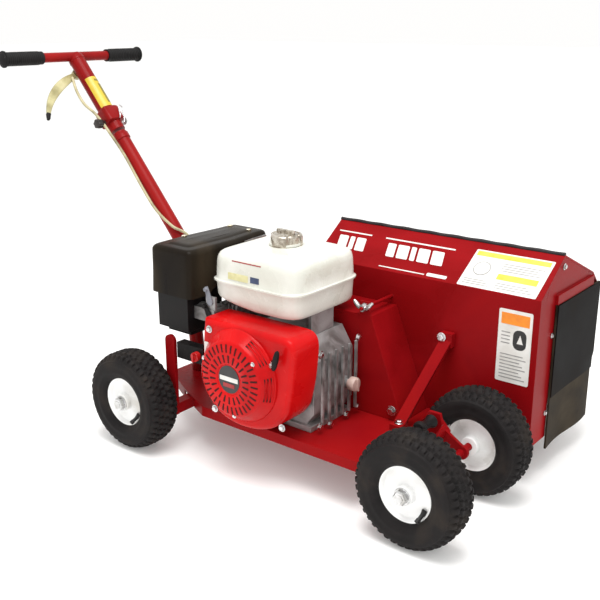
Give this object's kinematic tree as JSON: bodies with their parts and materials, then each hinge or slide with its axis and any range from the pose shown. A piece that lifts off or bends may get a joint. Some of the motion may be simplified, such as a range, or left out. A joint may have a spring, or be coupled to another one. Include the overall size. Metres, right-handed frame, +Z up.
{
  "type": "walk-behind lawn edger",
  "caption": "Walk-behind engine-driven lawn edger on pneumatic wheels with a hooded cutter disc, belt drive, depth-setting front axle and folding handle.",
  "frame": {"origin": "on the ground, under the centre of the machine's box", "axes": "+X forward, from the handle towards the front wheels; +Y to the operator's left; +Z up"},
  "size_m": [1.3037, 0.7993, 0.9016],
  "materials": {
    "frame_red": "glossy powder coat, chipped at edges",
    "engine_red": "glossy enamel",
    "wheel_white": "gloss white enamel",
    "tyre_rubber": "matt black tread rubber",
    "flap_rubber": "smooth black rubber sheet",
    "tank_white": "gloss white enamel",
    "black_plastic": "moulded black plastic",
    "cover_black": "satin black",
    "cast_alloy": "cast aluminium",
    "zinc": "zinc plated",
    "dark_steel": "dark machined steel",
    "silencer_grey": "heat-dulled casing",
    "knob_red": "moulded red plastic",
    "cap_grey": "pale grey plastic",
    "bracket_grey": "zinc-grey coating",
    "lever_cream": "cream coating",
    "cable_beige": "smooth beige cable sheath",
    "belt_rubber": "fabric-wrapped belt"
  },
  "bodies": {
    "chassis": {"deck_plate": "frame_red", "rear_axle_frame": "frame_red", "cutter_housing": "frame_red", "belt_guard": "frame_red", "diagonal_brace": "frame_red", "handle_lower_tube": "frame_red", "front_pivot_pin": "zinc", "guard_bolt": "zinc", "switch_box": "black_plastic", "spark_plug_cap": "black_plastic", "air_cleaner_case": "black_plastic", "deflector_hinge": "dark_steel", "cutter_bearing_inner": "cast_alloy", "cutter_bearing_outer": "cast_alloy", "engine_block": "cast_alloy", "cylinder_head": "cast_alloy", "rocker_cover": "cast_alloy", "carburetor": "cast_alloy", "muffler": "silencer_grey", "v_belt": "belt_rubber", "blower_shroud": "engine_red", "starter_cover": "engine_red", "fuel_tank": "tank_white", "air_cleaner_cover": "cover_black", "tank_bracket": "bracket_grey", "control_cable_lower": "cable_beige"},
    "rear_right_wheel": {"rear_right_tyre": "tyre_rubber", "rear_right_rim": "wheel_white"},
    "rear_left_wheel": {"rear_left_tyre": "tyre_rubber", "rear_left_rim": "wheel_white"},
    "front_right_wheel": {"front_right_tyre": "tyre_rubber", "front_right_rim": "wheel_white"},
    "front_left_wheel": {"front_left_tyre": "tyre_rubber", "front_left_rim": "wheel_white"},
    "front_axle": {"front_axle_arm": "frame_red"},
    "depth_lock": {"depth_lock_pin": "black_plastic"},
    "crank": {"crankshaft": "dark_steel", "flywheel_fan": "cast_alloy", "drive_pulley": "dark_steel"},
    "cutter": {"cutter_shaft": "dark_steel", "cutter_disc": "dark_steel", "driven_pulley": "dark_steel"},
    "idler": {"idler_arm": "zinc"},
    "idler_wheel": {"idler_pulley": "zinc"},
    "handle_upper": {"handle_upper_tube": "frame_red", "handle_grip_left": "black_plastic", "handle_grip_right": "black_plastic", "control_cable_upper": "cable_beige"},
    "fold_clamp": {"fold_knob": "black_plastic"},
    "clutch": {"clutch_lever": "lever_cream"},
    "starter_pull": {"starter_grip": "black_plastic"},
    "tank_cap": {"fuel_cap": "zinc"},
    "oil_filler": {"oil_cap": "cap_grey"},
    "switch": {"engine_switch": "knob_red"},
    "throttle": {"throttle_lever": "bracket_grey"},
    "choke": {"choke_lever": "dark_steel"},
    "deflector": {"side_deflector": "frame_red"},
    "flap": {"front_flap": "flap_rubber"},
    "wing_nut": {"guard_wing_nut": "zinc"}
  },
  "joints": [
    {"name": "rear_right_wheel_spin", "type": "hinge", "parent": "chassis", "child": "rear_right_wheel", "pos_m": [-0.208, -0.347, 0.118], "axis": [0, 1, 0], "continuous": true},
    {"name": "rear_left_wheel_spin", "type": "hinge", "parent": "chassis", "child": "rear_left_wheel", "pos_m": [-0.208, 0.25, 0.118], "axis": [0, 1, 0], "continuous": true},
    {"name": "front_axle_swing", "type": "hinge", "parent": "chassis", "child": "front_axle", "pos_m": [0.478, -0.168, 0.152], "axis": [0, -1, 0], "range_deg": [-18, 28]},
    {"name": "front_right_wheel_spin", "type": "hinge", "parent": "front_axle", "child": "front_right_wheel", "pos_m": [0.534, -0.304, 0.118], "axis": [0, 1, 0], "continuous": true},
    {"name": "front_left_wheel_spin", "type": "hinge", "parent": "front_axle", "child": "front_left_wheel", "pos_m": [0.534, -0.044, 0.118], "axis": [0, 1, 0], "continuous": true},
    {"name": "depth_lock_pull", "type": "slide", "parent": "front_axle", "child": "depth_lock", "axis": [0, -1, 0], "range_m": [0, 0.018], "stiffness_N_per_m": 600, "springref_m": -0.01},
    {"name": "cutter_spin", "type": "hinge", "parent": "chassis", "child": "cutter", "pos_m": [0.245, 0.1, 0.228], "axis": [0, 1, 0], "continuous": true},
    {"name": "crank_spin", "type": "hinge", "parent": "chassis", "child": "crank", "pos_m": [0.109, -0.1, 0.248], "axis": [0, 1, 0], "continuous": true},
    {"name": "idler_swing", "type": "hinge", "parent": "chassis", "child": "idler", "pos_m": [0.057, -0.047, 0.152], "axis": [0, -1, 0], "range_deg": [0, 4]},
    {"name": "idler_wheel_spin", "type": "hinge", "parent": "idler", "child": "idler_wheel", "pos_m": [0.14994, -0.024, 0.16059], "axis": [0, 1, 0], "continuous": true},
    {"name": "handle_fold", "type": "hinge", "parent": "chassis", "child": "handle_upper", "pos_m": [-0.4959, -0.117, 0.7218], "axis": [0, -1, 0], "range_deg": [0, 100]},
    {"name": "fold_knob_turn", "type": "hinge", "parent": "chassis", "child": "fold_clamp", "pos_m": [-0.4959, -0.162, 0.7218], "axis": [0, 1, 0], "continuous": true},
    {"name": "clutch_lever_pull", "type": "hinge", "parent": "handle_upper", "child": "clutch", "pos_m": [-0.63003, -0.117, 0.83357], "axis": [-0.7627, 0, -0.6468], "range_deg": [0, 30], "stiffness_Nm_per_rad": 3, "springref_deg": -11.46},
    {"name": "starter_pull_out", "type": "slide", "parent": "chassis", "child": "starter_pull", "axis": [0.7505, -0.3502, 0.5604], "range_m": [0, 0.6], "stiffness_N_per_m": 20, "springref_m": -0.3},
    {"name": "fuel_cap_turn", "type": "hinge", "parent": "chassis", "child": "tank_cap", "pos_m": [0.092, -0.145, 0.52], "axis": [0, 0, 1], "range_deg": [0, 90]},
    {"name": "oil_cap_turn", "type": "hinge", "parent": "chassis", "child": "oil_filler", "pos_m": [0.258, -0.118, 0.201], "axis": [1, 0, 0], "continuous": true},
    {"name": "engine_switch_turn", "type": "hinge", "parent": "chassis", "child": "switch", "pos_m": [-0.031, -0.31, 0.254], "axis": [0, 1, 0], "range_deg": [0, 60]},
    {"name": "throttle_swing", "type": "hinge", "parent": "chassis", "child": "throttle", "pos_m": [-0.029, -0.264, 0.37], "axis": [0, -1, 0], "range_deg": [-20, 15]},
    {"name": "choke_swing", "type": "hinge", "parent": "chassis", "child": "choke", "pos_m": [-0.029, -0.266, 0.334], "axis": [0, -1, 0], "range_deg": [-7, 25]},
    {"name": "deflector_lift", "type": "hinge", "parent": "chassis", "child": "deflector", "pos_m": [0.323, 0.364, 0.334], "axis": [1, 0, 0], "range_deg": [0, 60]},
    {"name": "flap_swing", "type": "hinge", "parent": "chassis", "child": "flap", "pos_m": [0.6203, 0.234, 0.396], "axis": [0, -1, 0], "range_deg": [0, 26]},
    {"name": "wing_nut_turn", "type": "hinge", "parent": "chassis", "child": "wing_nut", "pos_m": [0.258, -0.078, 0.367], "axis": [0, 1, 0], "continuous": true}
  ],
  "couplings": [
    {"joint": "crank_spin", "follows": "cutter_spin", "ratio": 1.619},
    {"joint": "idler_swing", "follows": "clutch_lever_pull", "ratio": 0.13333}
  ]
}
